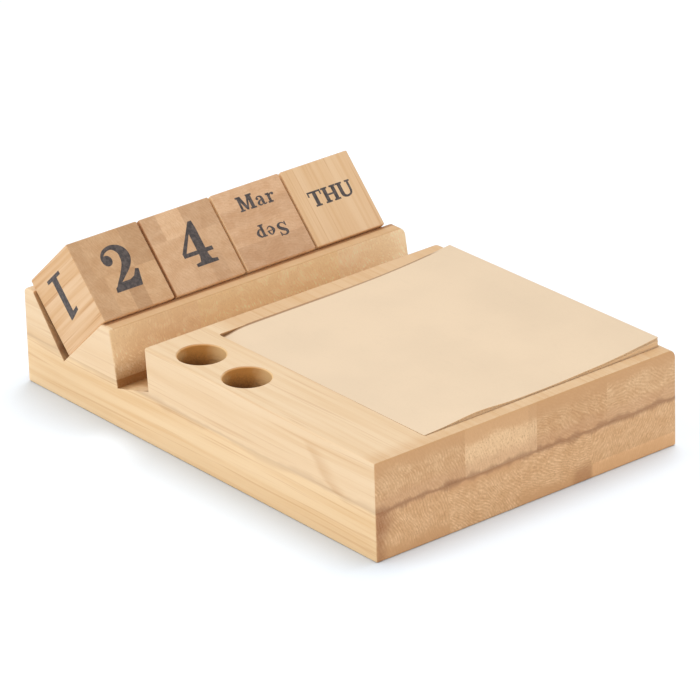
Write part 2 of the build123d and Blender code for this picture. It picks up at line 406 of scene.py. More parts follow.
# The block: each layer's name, its first seed, the nodes that it dresses, what its strips share, and what
# each strip from left to right has of its own
layers = [
    ("Lower", 1, ["lower_strip"],
     {"longTone": (1.02, 1.0, 0.93), "endTone": (1.06, 1.02, 0.96), "glueAt": layerMeet, "streaks": 0.58,
      "stained": ["slotFoot", "slotFloor", "grooveBack"]},
     [{"skin": (3.5, -1), "lean": 1.2, "dashes": 0.95, "bores": bores,
       "stained": ["cornerTop", "cornerSide"]},
      {"skin": (12.5, 1), "lean": 0.8, "light": 0.25},
      {"skin": (3.0, -1), "lean": 0.4, "stained": ["knotRight"]},
      {"skin": (4.5, -1), "lean": -1.2, "light": 0.22, "dashes": 0.9,
       "patches": [(23.5, 57.0, -1.0, 4.5, 0.15)]}]),
    ("Upper", 5, ["deck_strip", "rail_strip"],
     {"longTone": (0.985, 0.98, 0.97), "endTone": (1.03, 1.0, 0.95), "glueAt": layerMeet, "streaks": 0.45,
      "stained": ["grooveBack", "deckRear", "deckRim", "deckEdge", "trayRear", "trayEdge", "frontTop"]},
     [{"skin": (26.5, 1), "lean": 1.1, "dashes": 0.9, "bores": bores, "knots": [(-52.0, 24.0, -0.95, 0.45)],
       "stained": ["blotchLeft"]},
      {"skin": (25.2, 1), "lean": 1.25, "light": 0.95, "dashes": 1.3, "stained": ["blotchLeft"],
       "patches": [(-30.0, -22.0, 14.0, 20.0, -0.08), (-27.5, 0.0, 14.0, 32.0, 0.06)]},
      {"skin": (25.5, 1), "lean": 0.5, "light": 0.05, "dashes": 0.9},
      {"skin": (26.5, 1), "lean": 0.3, "light": 0.3, "dashes": 0.9, "stained": ["blotchRight"]}]),
    ("Ridge", 9, ["ridge_strip"],
     {"streaks": 0.3, "lean": 1.2, "light": -0.08, "dashes": 0.3, "speckles": 23.0,
      "stained": ["slotFoot", "ridgeTop", "ridgeBack"]},
     # The ridge's end grain is painted far lighter than the wood's own colour: painted light against the
     # shade on its wall in the slot
     [{"endTone": (1.53, 1.9, 2.3)}, {"endTone": (1.58, 2.03, 2.4)}, {"endTone": (1.58, 2.03, 2.4)},
      {"endTone": (1.58, 2.08, 2.65)}]),
]
for layer, firstSeed, nodes, shared, strips in layers:
    for count, own in enumerate(strips):
        look = {**shared, **own, "stained": shared["stained"] + own.get("stained", [])}
        material = bamboo(f"bamboo{layer}{count + 1}", seed=firstSeed + count, **look)
        for node in nodes:
            dress(f"{node}_{count + 1}", material)
print("block dressed")

cubeTurn = -math.radians(43)  # about X, as the groove's front wall leans
half = cubeSide / 2
cubeShared = {"turn": (cubeTurn, 0, 0), "streaks": 0.55, "dashes": 0.35, "patchSoft": 0.12}
cubeLooks = {
    "day_cube_tens": {
        "seamShades": [(1, "seamShade")], "streaks": 1.05,
        "longTone": (0.92, 0.83, 0.76), "endTone": (0.95, 0.94, 0.96),
        "patches": [(-half, -8.5, 0.0, half, -0.06), (5.3, half, 0.0, half, -0.11),
                    (-half, -6.0, -half, 0.0, -0.04), (-6.0, -0.4, -half, 0.0, 0.05),
                    (-0.4, 4.9, -half, 0.0, -0.15), (4.9, half, -half, 0.0, 0.07)]},
    "day_cube_units": {
        "seamShades": [(-1, "seamShade"), (1, "paleSeamShade")],
        "longTone": (0.95, 0.89, 0.83), "endTone": (1.01, 1.02, 1.11),
        "patches": [(-7.1, 1.3, 4.0, half, 0.14), (1.3, half, 4.0, half, -0.08),
                    (-half, -7.1, 4.0, half, -0.04), (2.5, 8.0, -half, -4.0, -0.08),
                    (-half, -3.0, -half, 4.0, 0.05)]},
    "month_cube": {
        "seamShades": [(-1, "paleSeamShade"), (1, "paleSeamShade")], "lean": 0.1,
        "longTone": (0.93, 0.86, 0.79), "endTone": (1.06, 1.06, 1.17),
        "patches": [(-half, half, -half, -5.2, -0.12), (-half, half, 1.0, 6.5, -0.05),
                    (-half, half, 6.5, half, 0.03)]},
    "weekday_cube": {  # its fibres run up the front, a quarter turn from the others'
        "seamShades": [(-1, "paleSeamShade")], "longTone": (0.945, 0.862, 0.785), "streaks": 0.58,
        "turn": (cubeTurn + math.pi / 2, 0, 0)},
}
cubeMiddles = {}
for count, (name, look) in enumerate(cubeLooks.items()):
    low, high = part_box(name)
    cubeMiddles[name] = (Vector(low) + Vector(high)) / 2 / mm
    dress(name, bamboo(f"bamboo_{name}", tuple(cubeMiddles[name]), seed=20 + count, **{**cubeShared, **look}))
print("cubes dressed")

# The marks on the cubes: numbers and short names in ink

ink = {
    "colour": (66, 60, 60),
    "faded": (100, 90, 86),
    "worn": (140, 112, 92),  # where the wood shows through
    "deep": 0.05,  # how far the ink goes into the wood and stands out of it, in millimetres
    "proud": 0.02,
    "strokeSteps": 6,  # points between two knots of a stroke
    "ovalSteps": 32,
    "mergeStroke": 1e-7,  # points nearer than this are one, in metres: of a stroke, and of a whole word
    "mergeWord": 2e-7,
    "gap": 0.07,  # between two letters, as a share of their height
    "numberHigh": 14.0,
    "numberAt": (-5.0, -6.8),  # left and low end, from the middle of the face
    "wordHigh": 4.75,
    "wordStretch": 1.13,
    "upperAt": (-6.0, 4.9),  # two words on one face
    "lowerAt": (-6.6, 1.2),
    "lowerShare": 0.92,
    "weekdayHigh": 5.0,
    "weekdayAt": (-8.0, -1.0),
    "weekdayGap": 0.06,
    "serifHigh": 0.11,  # as a share of the letter's height, and how far it stands out on a side
    "serifOver": 0.09,
}


def inkFinish(name):
    finish = Finish(bpy.data.materials.new(name))
    coords = finish.coords()
    blotches = finish.noise(coords, 900.0, 3.0, 0.6)
    wear = finish.noise(coords, 3500.0, 2.0, 0.6)
    colour = finish.blend(finish.ramp(blotches, 0.35, 0.7), paint(*ink["colour"]), paint(*ink["faded"]))
    colour = finish.blend(finish.ramp(wear, 0.6, 0.8) * 0.5, colour, paint(*ink["worn"]))
    return finish.surface(colour, 0.6 + wear * 0.15, wear, 0.01, 0.5)


inkLook = inkFinish("ink")


# A part of a letter is a list of closed lines: its outline, then its holes

def shape(*corners):
    return [list(corners)]


def bar(left, low, right, high):
    return shape((left, low), (right, low), (right, high), (left, high))


def oval(x, y, wide, high):
    turns = [2 * math.pi * step / ink["ovalSteps"] for step in range(ink["ovalSteps"])]
    return [(x + wide * math.cos(turn), y + high * math.sin(turn)) for turn in turns]


def ring(x, y, wide, high, holeWide, holeHigh):
    return [oval(x, y, wide, high), oval(x, y, holeWide, holeHigh)]


def ball(x, y, radius):
    return [oval(x, y, radius, radius)]


# A pen line through knots, each (x, y, width of the pen there)
def stroke(*knots):
    knots = [Vector(knot) for knot in knots]
    padded = [knots[0] * 2 - knots[1], *knots, knots[-1] * 2 - knots[-2]]
    line = []
    for a, b, c, d in zip(padded, padded[1:], padded[2:], padded[3:]):
        for step in range(ink["strokeSteps"]):
            t = step / ink["strokeSteps"]
            line.append((b * 2 + (c - a) * t + (a * 2 - b * 5 + c * 4 - d) * t**2
                         + (b * 3 - a - c * 3 + d) * t**3) / 2)
    line.append(knots[-1])
    one, other = [], []
    for place, point in enumerate(line):
        ahead = line[min(place + 1, len(line) - 1)] - line[max(place - 1, 0)]
        aside = Vector((-ahead.y, ahead.x)).normalized() * point.z / 2
        one.append((point.x + aside.x, point.y + aside.y))
        other.append((point.x - aside.x, point.y - aside.y))
    return [one + other[::-1]]


# An upright with its flat serifs: "l" and "r" are the sides they stand out on, at the foot and the head
def post(x, low=0.0, high=1.0, width=0.23, foot="lr", head="lr"):
    parts = [bar(x - width / 2, low, x + width / 2, high)]
    for sides, edge in ((foot, low), (head, high - ink["serifHigh"])):
        if sides:
            left = x - width / 2 - (ink["serifOver"] if "l" in sides else 0)
            right = x + width / 2 + (ink["serifOver"] if "r" in sides else 0)
            parts.append(bar(left, edge, right, edge + ink["serifHigh"]))
    return parts


bowl = ((0.2, 0.5, 0.06), (0.36, 0.61, 0.1), (0.53, 0.34, 0.19), (0.36, 0.05, 0.1), (0.2, 0.14, 0.06))

arms = [bar(0.2, 0.91, 0.76, 1.0), bar(0.68, 0.72, 0.76, 0.95), bar(0.25, 0.46, 0.55, 0.54),
        bar(0.5, 0.36, 0.57, 0.64)]
twoSerifs = [bar(0.0, 0.58, 0.33, 0.66), bar(0.44, 0.58, 0.7, 0.66)]

# Each letter is its width and its parts, with capitals and numbers 1 high
letters = {
    "0": (0.76, [ring(0.36, 0.5, 0.34, 0.52, 0.13, 0.45)]),
    "1": (0.62, [
        bar(0.22, 0.03, 0.43, 0.92), bar(0.04, 0.0, 0.62, 0.08),
        shape((0.43, 0.88), (0.43, 1.0), (0.38, 1.0), (0.03, 0.92), (0.03, 0.83), (0.24, 0.87),
            (0.24, 0.8))]),
    "2": (0.76, [
        ball(0.17, 0.71, 0.12),
        stroke((0.09, 0.68, 0.08), (0.08, 0.8, 0.07), (0.18, 0.92, 0.08), (0.38, 0.965, 0.1),
            (0.56, 0.86, 0.2), (0.61, 0.7, 0.25), (0.54, 0.52, 0.2), (0.36, 0.33, 0.12), (0.2, 0.18, 0.08),
            (0.1, 0.06, 0.07)),
        shape((0.04, 0.0), (0.7, 0.0), (0.78, 0.36), (0.7, 0.38), (0.6, 0.24), (0.48, 0.19), (0.3, 0.19),
            (0.18, 0.17), (0.06, 0.1))]),
    "3": (0.74, [
        ball(0.17, 0.74, 0.12), ball(0.16, 0.25, 0.13),
        stroke((0.09, 0.76, 0.07), (0.18, 0.91, 0.07), (0.36, 0.965, 0.09), (0.54, 0.85, 0.18),
            (0.55, 0.68, 0.2), (0.44, 0.56, 0.11), (0.28, 0.52, 0.07)),
        stroke((0.28, 0.52, 0.07), (0.48, 0.47, 0.13), (0.59, 0.28, 0.25), (0.5, 0.09, 0.15),
            (0.34, 0.035, 0.09), (0.17, 0.07, 0.07), (0.07, 0.22, 0.07))]),
    "4": (0.82, [
        bar(0.4, 0.05, 0.64, 0.84), shape((0.6, 1.0), (0.52, 1.0), (0.0, 0.37), (0.0, 0.27), (0.09, 0.33)),
        shape((0.62, 1.0), (0.52, 1.0), (0.4, 0.82), (0.52, 0.78), (0.64, 0.82)),
        bar(0.0, 0.26, 0.82, 0.35),
        shape((0.22, 0.0), (0.82, 0.0), (0.82, 0.07), (0.68, 0.09), (0.64, 0.2), (0.4, 0.2), (0.36, 0.09),
            (0.22, 0.07))]),
    "5": (0.74, [
        bar(0.13, 0.46, 0.2, 0.97), shape((0.13, 1.0), (0.13, 0.82), (0.58, 0.82), (0.66, 1.0)),
        ball(0.16, 0.24, 0.13),
        stroke((0.16, 0.48, 0.07), (0.3, 0.6, 0.09), (0.5, 0.54, 0.17), (0.6, 0.32, 0.25),
            (0.5, 0.1, 0.16), (0.34, 0.035, 0.09), (0.17, 0.07, 0.07), (0.07, 0.22, 0.07))]),
    "6": (0.76, [
        ball(0.56, 0.8, 0.12), ring(0.38, 0.31, 0.31, 0.33, 0.11, 0.25),
        stroke((0.64, 0.82, 0.07), (0.56, 0.92, 0.07), (0.42, 0.965, 0.09), (0.25, 0.84, 0.16),
            (0.16, 0.58, 0.22), (0.17, 0.36, 0.2))]),
    "7": (0.74, [
        shape((0.04, 1.0), (0.04, 0.64), (0.1, 0.64), (0.2, 0.8), (0.7, 0.88), (0.72, 1.0)),
        stroke((0.69, 0.92, 0.06), (0.52, 0.62, 0.1), (0.4, 0.34, 0.2), (0.38, 0.0, 0.26))]),
    "8": (0.74, [ring(0.36, 0.74, 0.28, 0.27, 0.11, 0.19), ring(0.36, 0.27, 0.34, 0.29, 0.13, 0.21)]),
    "A": (0.98, [
        shape((0.36, 1.0), (0.54, 1.0), (0.88, 0.0), (0.64, 0.0)),
        shape((0.38, 1.0), (0.48, 1.0), (0.19, 0.0), (0.1, 0.0)), bar(0.22, 0.28, 0.66, 0.36),
        bar(0.0, 0.0, 0.3, 0.09), bar(0.54, 0.0, 0.98, 0.09)]),
    "D": (0.92, [
        *post(0.2, foot="l", head="l"),
        stroke((0.2, 0.955, 0.09), (0.44, 0.95, 0.1), (0.66, 0.8, 0.18), (0.74, 0.5, 0.23),
            (0.66, 0.2, 0.18), (0.44, 0.05, 0.1), (0.2, 0.045, 0.09))]),
    "E": (0.84, [
        *post(0.2, foot="l", head="l"), *arms, bar(0.2, 0.0, 0.78, 0.09), bar(0.7, 0.05, 0.78, 0.28)]),
    "F": (0.8, [*post(0.2, head="l"), *arms]),
    "H": (0.97, [*post(0.2), *post(0.77), bar(0.28, 0.44, 0.7, 0.55)]),
    "I": (0.4, post(0.2)),
    "J": (0.62, [
        *post(0.42, low=0.26, foot=""), ball(0.16, 0.17, 0.12),
        stroke((0.42, 0.3, 0.2), (0.4, 0.12, 0.17), (0.28, 0.035, 0.09), (0.12, 0.08, 0.07))]),
    "M": (1.14, [
        *post(0.18, width=0.15), *post(0.94), shape((0.1, 1.0), (0.36, 1.0), (0.62, 0.12), (0.48, 0.05)),
        shape((0.8, 1.0), (0.94, 1.0), (0.6, 0.02), (0.48, 0.05))]),
    "N": (0.98, [
        *post(0.18, width=0.13, head="l"), *post(0.81, width=0.13, foot=""),
        shape((0.06, 1.0), (0.32, 1.0), (0.87, 0.0), (0.69, 0.0))]),
    "O": (0.9, [ring(0.44, 0.5, 0.42, 0.52, 0.2, 0.44)]),
    "R": (0.92, [
        *post(0.2, head="l"),
        stroke((0.2, 0.955, 0.09), (0.44, 0.95, 0.1), (0.62, 0.86, 0.18), (0.62, 0.66, 0.19),
            (0.44, 0.54, 0.1), (0.2, 0.52, 0.09)),
        stroke((0.4, 0.52, 0.1), (0.56, 0.44, 0.17), (0.64, 0.2, 0.19), (0.74, 0.05, 0.11),
            (0.9, 0.1, 0.05))]),
    "S": (0.78, [
        bar(0.61, 0.66, 0.68, 1.0), bar(0.08, 0.0, 0.15, 0.34),
        stroke((0.64, 0.74, 0.05), (0.56, 0.9, 0.07), (0.38, 0.965, 0.09), (0.2, 0.86, 0.17),
            (0.2, 0.67, 0.21), (0.4, 0.52, 0.23), (0.59, 0.34, 0.22), (0.58, 0.14, 0.17),
            (0.4, 0.035, 0.09), (0.22, 0.1, 0.07), (0.12, 0.28, 0.05))]),
    "T": (0.9, [
        *post(0.45, head=""), bar(0.02, 0.89, 0.88, 1.0), bar(0.02, 0.68, 0.11, 0.95),
        bar(0.79, 0.68, 0.88, 0.95)]),
    "U": (0.96, [
        *post(0.2, low=0.28, foot=""), *post(0.77, low=0.28, width=0.14, foot=""),
        stroke((0.2, 0.32, 0.23), (0.24, 0.15, 0.21), (0.45, 0.05, 0.13), (0.69, 0.14, 0.12),
            (0.77, 0.32, 0.14))]),
    "W": (1.2, [
        shape((0.07, 1.0), (0.28, 1.0), (0.46, 0.0), (0.37, 0.0)), bar(0.0, 0.91, 0.36, 1.0),
        shape((0.37, 0.0), (0.46, 0.0), (0.64, 0.9), (0.56, 1.0)), bar(0.46, 0.91, 0.8, 1.0),
        shape((0.52, 1.0), (0.73, 1.0), (0.9, 0.0), (0.81, 0.0)), bar(0.9, 0.91, 1.2, 1.0),
        shape((0.81, 0.0), (0.9, 0.0), (1.09, 1.0), (1.01, 1.0))]),
    "a": (0.7, [
        ball(0.16, 0.5, 0.09),
        stroke((0.1, 0.52, 0.05), (0.18, 0.61, 0.06), (0.3, 0.63, 0.08), (0.44, 0.56, 0.15),
            (0.47, 0.4, 0.18), (0.47, 0.14, 0.17), (0.55, 0.05, 0.09), (0.68, 0.1, 0.05)),
        stroke((0.44, 0.38, 0.06), (0.28, 0.34, 0.1), (0.14, 0.18, 0.16), (0.24, 0.05, 0.09),
            (0.38, 0.09, 0.06), (0.46, 0.18, 0.05))]),
    "b": (0.7, [*post(0.16, foot="", head="l", width=0.18), stroke(*bowl)]),
    "c": (0.62, [
        ball(0.46, 0.49, 0.09),
        stroke((0.5, 0.52, 0.06), (0.42, 0.61, 0.07), (0.3, 0.62, 0.09), (0.14, 0.34, 0.19),
            (0.28, 0.05, 0.1), (0.44, 0.07, 0.07), (0.55, 0.2, 0.05))]),
    "e": (0.64, [
        bar(0.14, 0.31, 0.58, 0.38),
        stroke((0.52, 0.34, 0.12), (0.45, 0.58, 0.11), (0.31, 0.63, 0.08), (0.14, 0.34, 0.19),
            (0.28, 0.05, 0.1), (0.44, 0.07, 0.07), (0.56, 0.2, 0.05))]),
    "g": (0.72, [
        ring(0.28, 0.36, 0.26, 0.3, 0.1, 0.23), bar(0.48, 0.58, 0.68, 0.66), ball(0.14, -0.17, 0.09),
        stroke((0.52, 0.64, 0.17), (0.52, 0.0, 0.17), (0.44, -0.22, 0.11), (0.26, -0.27, 0.07),
            (0.1, -0.2, 0.06))]),
    "l": (0.38, post(0.18, width=0.18, head="l")),
    "n": (0.76, [
        *post(0.18, high=0.66, width=0.18, head="l"), bar(0.42, 0.0, 0.74, 0.09),
        stroke((0.24, 0.48, 0.06), (0.36, 0.61, 0.09), (0.5, 0.59, 0.14), (0.57, 0.42, 0.18),
            (0.57, 0.03, 0.18))]),
    "o": (0.66, [ring(0.31, 0.33, 0.3, 0.35, 0.13, 0.28)]),
    "p": (0.7, [*post(0.16, low=-0.3, high=0.66, width=0.18, head="l"), stroke(*bowl)]),
    "r": (0.58, [
        *post(0.18, high=0.66, width=0.18, head="l"), ball(0.47, 0.55, 0.09),
        stroke((0.24, 0.44, 0.06), (0.34, 0.58, 0.07), (0.48, 0.61, 0.07))]),
    "t": (0.5, [
        bar(0.03, 0.58, 0.42, 0.66),
        stroke((0.25, 0.9, 0.03), (0.2, 0.64, 0.15), (0.2, 0.2, 0.18), (0.28, 0.05, 0.12),
            (0.4, 0.07, 0.06), (0.47, 0.2, 0.04))]),
    "u": (0.76, [
        *post(0.18, low=0.2, high=0.66, width=0.18, foot="", head="l"),
        *post(0.56, high=0.66, width=0.18, foot="r", head="l"),
        stroke((0.18, 0.26, 0.18), (0.2, 0.1, 0.15), (0.32, 0.05, 0.09), (0.44, 0.1, 0.07),
            (0.52, 0.22, 0.06))]),
    "v": (0.7, [
        shape((0.06, 0.66), (0.26, 0.66), (0.41, 0.0), (0.32, 0.0)),
        shape((0.32, 0.0), (0.41, 0.0), (0.61, 0.66), (0.53, 0.66)), *twoSerifs]),
    "y": (0.7, [
        shape((0.06, 0.66), (0.26, 0.66), (0.42, 0.0), (0.33, 0.0)), ball(0.13, -0.19, 0.09),
        stroke((0.57, 0.62, 0.08), (0.36, -0.04, 0.08), (0.26, -0.24, 0.07), (0.08, -0.22, 0.06)),
        *twoSerifs]),
}

# Where each face of a cube looks and which way is up on it, in the cube's own directions
cubeFaces = {
    "front": ((0, -1, 0), (0, 0, 1)),
    "left": ((-1, 0, 0), (0, 0, -1)),
    "top": ((0, 0, 1), (0, 1, 0)),
    "back": ((0, 1, 0), (0, 0, -1)),
    "below": ((0, 0, -1), (0, -1, 0)),
    "right": ((1, 0, 0), (0, 0, 1)),
}


def drawStrokes(text, left, low, high, stretch, gap):  # filled curves as thick as the ink
    strokes = []
    pen = 0.0
    for sign in text:
        letterWide, parts = letters[sign]
        for lines in parts:
            curve = bpy.data.curves.new("stroke", "CURVE")
            curve.dimensions = "2D"
            curve.fill_mode = "BOTH"
            curve.extrude = (ink["deep"] + ink["proud"]) / 2 * mm
            for points in lines:
                spline = curve.splines.new("POLY")
                spline.points.add(len(points) - 1)
                for point, (x, y) in zip(spline.points, points):
                    point.co = ((left + (pen + x) * high * stretch) * mm, (low + y * high) * mm, 0, 1)
                spline.use_cyclic_u = True
            strokes.append(bpy.data.objects.new("stroke", curve))
            bpy.context.scene.collection.objects.link(strokes[-1])
        pen += letterWide + gap
    return strokes


def mergeStrokes(strokes):  # into one closed skin
    pick(*strokes)
    bpy.ops.object.convert(target="MESH")
    editAll()  # all the strokes at once, each merged by itself
    bpy.ops.mesh.remove_doubles(threshold=ink["mergeStroke"])
    bpy.ops.mesh.normals_make_consistent(inside=False)
    leaveEdit()
    bpy.ops.object.join()
    editAll()
    bpy.ops.mesh.intersect_boolean(operation="UNION", use_self=True, solver="EXACT")
    bpy.ops.mesh.select_all(action="SELECT")
    bpy.ops.mesh.remove_doubles(threshold=ink["mergeWord"])
    leaveEdit()
    return bpy.context.object


# One word on a face of a cube. left and low are from the middle of the face, in millimetres, and a turned
# word stands on its head
def word(cubeName, face, text, left, low, high, wide=None, turned=False, gap=ink["gap"]):
    natural = (sum(letters[sign][0] for sign in text) + gap * (len(text) - 1)) * high
    stretch = wide / natural if wide else ink["wordStretch"]
    made = mergeStrokes(drawStrokes(text, left, low, high, stretch, gap))
    outward, upward = (Vector(way) for way in cubeFaces[face])
    reading = upward.cross(outward)
    if turned:
        reading, upward = -reading, -upward
    onFace = Matrix((reading, upward, outward)).transposed().to_4x4()
    onFace.translation = outward * (cubeSide / 2 + (ink["proud"] - ink["deep"]) / 2) * mm
    inPlace = Matrix.Translation(cubeMiddles[cubeName] * mm) @ Matrix.Rotation(cubeTurn, 4, "X")
    made.matrix_world = inPlace @ onFace
    bpy.ops.object.transform_apply(location=True, rotation=True, scale=True)
    return made


def number(cubeName, face, text, place=ink["numberAt"], wide=None):
    return word(cubeName, face, text, *place, ink["numberHigh"], wide or letters[text][0] * ink["numberHigh"])


def numbers(cubeName, signs):
    return [number(cubeName, face, sign) for face, sign in signs.items()]


def pair(cubeName, face, upper, lower):  # two names on one face, the lower one to be read upside down
    return [word(cubeName, face, upper, *ink["upperAt"], ink["wordHigh"]),
            word(cubeName, face, lower, *ink["lowerAt"], ink["wordHigh"] * ink["lowerShare"], turned=True)]


def months(names):
    return [mark for face, (upper, lower) in names.items() for mark in pair("month_cube", face, upper, lower)]


def weekdays(names):
    return [word("weekday_cube", face, text, *ink["weekdayAt"], ink["weekdayHigh"], gap=ink["weekdayGap"])
            for face, text in names.items()]


cubeWords = {
    "day_cube_tens": [
        number("day_cube_tens", "front", "2", (-4.9, -5.9), 10.6),
        number("day_cube_tens", "left", "1", (-3.6, -8.7), 8.7),
        *numbers("day_cube_tens", {"top": "0", "back": "6", "below": "7", "right": "8"})],
    "day_cube_units": [
        number("day_cube_units", "front", "4", (-4.5, -6.5), 10.6),
        *numbers("day_cube_units", {"left": "0", "top": "1", "back": "2", "below": "3", "right": "5"})],
    "month_cube": [
        word("month_cube", "front", "Mar", -5.5, 4.85, 4.75, 13.5),
        word("month_cube", "front", "Sep", -7.2, 1.7, 4.2, 11.7, turned=True),
        *months({"left": ("Jan", "Jul"), "top": ("Feb", "Aug"), "back": ("Apr", "Oct"),
                 "below": ("May", "Nov"), "right": ("Jun", "Dec")})],
    "weekday_cube": [
        word("weekday_cube", "front", "THU", -7.9, -1.0, 5.0, 16.3, gap=0.03),
        *weekdays({"left": "MON", "top": "TUE", "back": "WED", "below": "FRI"}),
        *pair("weekday_cube", "right", "SAT", "SUN")],
}
cubeBodies = {"day_cube_tens": "day_tens", "day_cube_units": "day_units", "month_cube": "month",
              "weekday_cube": "weekday"}
for name, marks in cubeWords.items():
    pick(*marks)
    bpy.ops.object.join()
    piece = bpy.context.object
    piece.name = piece.data.name = "ink_on_" + name
    coat(piece, inkLook)
    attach(piece, cubeBodies[name])
print("marks drawn")

# Memo pad

pad = {
    "sheets": 4,  # loose ones on top of the block
    "thick": 0.12,
    "between": 0.13,  # from one loose sheet to the next where they lie flat
    "opens": 0.035,  # share of the curl that each lower sheet lacks
    "columns": 64,
    "rows": 40,
    "rim": 30.0,  # height of the tray's rim
    # Heights above it at places from left to right, at the front and at the rear
    "frontCurl": [(-34.0, 0.08), (-28.0, 0.2), (-18.0, 0.32), (0.0, 0.4), (12.0, 0.5), (29.0, 0.98),
                  (37.5, 1.5), (45.8, 2.22), (52.5, 2.95)],
    "rearCurl": [(-34.0, -0.05), (-10.0, 0.05), (10.0, 0.15), (30.0, 0.7), (45.0, 1.7), (52.5, 2.4)],
    "waveAt": (-14.5, 10.0),  # where the front edge lifts off the rim, and how far each way
    "waveHigh": 0.85,
    "waveDeep": 20.0,
    "dipHigh": 1.1,  # the rear left corner lies lower
    "dipReach": (5, 7),  # how far to the right and to the front
    "over": (0.25, 0.15),  # a loose sheet beyond the block, at the left and the rear
    "short": 0.05,  # and how much it lacks at the right
    "reach": 0.3,  # how much further the two upper sheets lie over
    "shift": 0.09,  # the most that one sheet lies off from the others
    "ripple": 0.02,  # height of the small waves in a sheet
    "smooth": 35,  # edges sharper than this many degrees stay sharp
    "paper": (243, 218, 186),
    "edges": (247, 210, 164),
    "edgeLines": 0.22,  # height of the lines on the sheets' edges
    "faceShade": 0.955,  # share of the light that the clouds in the paper leave, and the lines on its edges
    "edgeShade": 0.9,
    # painted shade along the rear edge of the top sheets, for the gap behind the pad
    "rearShadeLine": (150, 102, 58),
    "rearShadeLineAt": (0.9, 0.35),  # before the rear edge: where the painted shade line begins and where it is full
    "rearShadeLineShare": 0.7,
    "layers": 28,  # of sheet edges that show on the sides of the block
    "layerStep": 0.04,
    "drop": 20.0,  # any depth, before the foot of the block gets its height
    "upright": 5.0,  # edges that rise more than this are the block's sides
    "same": 0.01,  # places nearer than this are one
}

cardLow, cardHigh = (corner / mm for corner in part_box("pad_backing_card"))
glueLow, glueHigh = (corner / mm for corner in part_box("pad_glue_edge"))
blockLow, blockHigh = (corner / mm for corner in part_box("pad_sheet_block"))


def lineThrough(knots, x):  # the height at x of a smooth line through the knots
    x = min(max(x, knots[0][0]), knots[-1][0])
    for place in range(len(knots) - 1):
        (x1, y1), (x2, y2) = knots[place], knots[place + 1]
        if x <= x2:
            x0, y0 = knots[max(place - 1, 0)]
            x3, y3 = knots[min(place + 2, len(knots) - 1)]
            slope1 = (y2 - y0) / (x2 - x0)
            slope2 = (y3 - y1) / (x3 - x1)
            t, run = (x - x1) / (x2 - x1), x2 - x1
            return (y1 * (1 + 2 * t) * (1 - t) ** 2 + slope1 * run * t * (1 - t) ** 2
                    + y2 * t * t * (3 - 2 * t) + slope2 * run * t * t * (t - 1))
    return knots[-1][1]


def curl(x, y):  # height of the top sheet above the rim
    back = (y - blockLow.y) / (blockHigh.y - blockLow.y)
    height = lineThrough(pad["frontCurl"], x) * (1 - back) + lineThrough(pad["rearCurl"], x) * back
    middle, reach = pad["waveAt"]
    deep, (right, front) = pad["waveDeep"], pad["dipReach"]
    height += pad["waveHigh"] * math.exp(-((x - middle) / reach) ** 2 - ((y - blockLow.y) / deep) ** 2)
    height -= pad["dipHigh"] * math.exp(-((x - blockLow.x) / right) ** 2 - ((blockHigh.y - y) / front) ** 2)
    return height


def layerHeight(x, y, below):  # height of the sheet with so many loose ones above it
    return pad["rim"] + curl(x, y) * (1 - pad["opens"] * below) - pad["between"] * below


def gridSheet(name, low, high, columns, rows):  # a flat grid from one corner to the other
    deselectAll()
    bpy.ops.mesh.primitive_grid_add(x_subdivisions=columns, y_subdivisions=rows, size=1)
    sheet = bpy.context.object
    sheet.name = sheet.data.name = name
    editAll()
    bpy.ops.transform.resize(value=((high[0] - low[0]) * mm, (high[1] - low[1]) * mm, 1))
    bpy.ops.transform.translate(value=((low[0] + high[0]) / 2 * mm, (low[1] + high[1]) / 2 * mm, 0))
    leaveEdit()
    return sheet


def thicken(piece, thick, side):  # on the side that its faces look to with 1, on the other with -1
    wall = piece.modifiers.new("thickness", "SOLIDIFY")
    wall.thickness = thick * mm
    wall.offset = side
    pick(piece)
    bpy.ops.object.modifier_apply(modifier=wall.name)


def finishPiece(piece, material, body, slot, *nodes):
    pick(piece)
    bpy.ops.object.shade_smooth_by_angle(angle=math.radians(pad["smooth"]))
    coat(piece, material)
    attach(piece, body)
    if nodes:
        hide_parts(*nodes)


# rear is where the painted shade line along the back of a sheet lies, in millimetres, standing for the gap
# behind the pad
def paper(name, face, edge, lineHigh, rear=None):
    finish = Finish(bpy.data.materials.new(name))
    coords = finish.coords()
    side = 1 - finish.ramp(abs(finish.split(finish.facing())[2]), 0.5, 0.8)
    flecks = finish.noise(coords, 1400.0, 3.0, 0.6)
    clouds = finish.noise(coords, 45.0, 2.0, 0.5)
    x, y, z = finish.split(coords)
    fibres = finish.noise(finish.join(x * 500.0, y * 120.0, z * 500.0), 1.0, 2.0, 0.6)
    faceMix = finish.ramp(clouds, 0.3, 0.7) * 0.4 + finish.ramp(flecks, 0.45, 0.8) * 0.2
    faceMix = faceMix + finish.ramp(fibres, 0.55, 0.8) * 0.15 + finish.ramp(x, 0.015, 0.055) * 0.45
    faceColour = finish.blend(faceMix, paint(*face), paint(*[value * pad["faceShade"] for value in face]))
    # painted shade along the rear edge, where the gap to the tray's rear wall lies
    if rear is not None:
        ragged = (flecks - 0.5) * 0.0003
        begins, full = ((rear - before) * mm for before in pad["rearShadeLineAt"])
        paintedRearShade = finish.ramp(y + ragged, begins, full) * finish.ramp(x, 0.049, 0.043)
        faceColour = finish.blend(paintedRearShade * pad["rearShadeLineShare"], faceColour, paint(*pad["rearShadeLine"]))
    lines = finish.noise(finish.join(x * 12.0, y * 12.0, z * (1000.0 / lineHigh)), 1.0, 2.0, 0.7)
    darkEdge = paint(*[value * pad["edgeShade"] for value in edge])
    edgeColour = finish.blend(finish.ramp(lines, 0.35, 0.7), paint(*edge), darkEdge)
    colour = finish.blend(side, faceColour, edgeColour)
    height = flecks * 0.5 + fibres * 0.5
    return finish.surface(colour, 0.82 + flecks * 0.1, height, 0.012, 0.5)


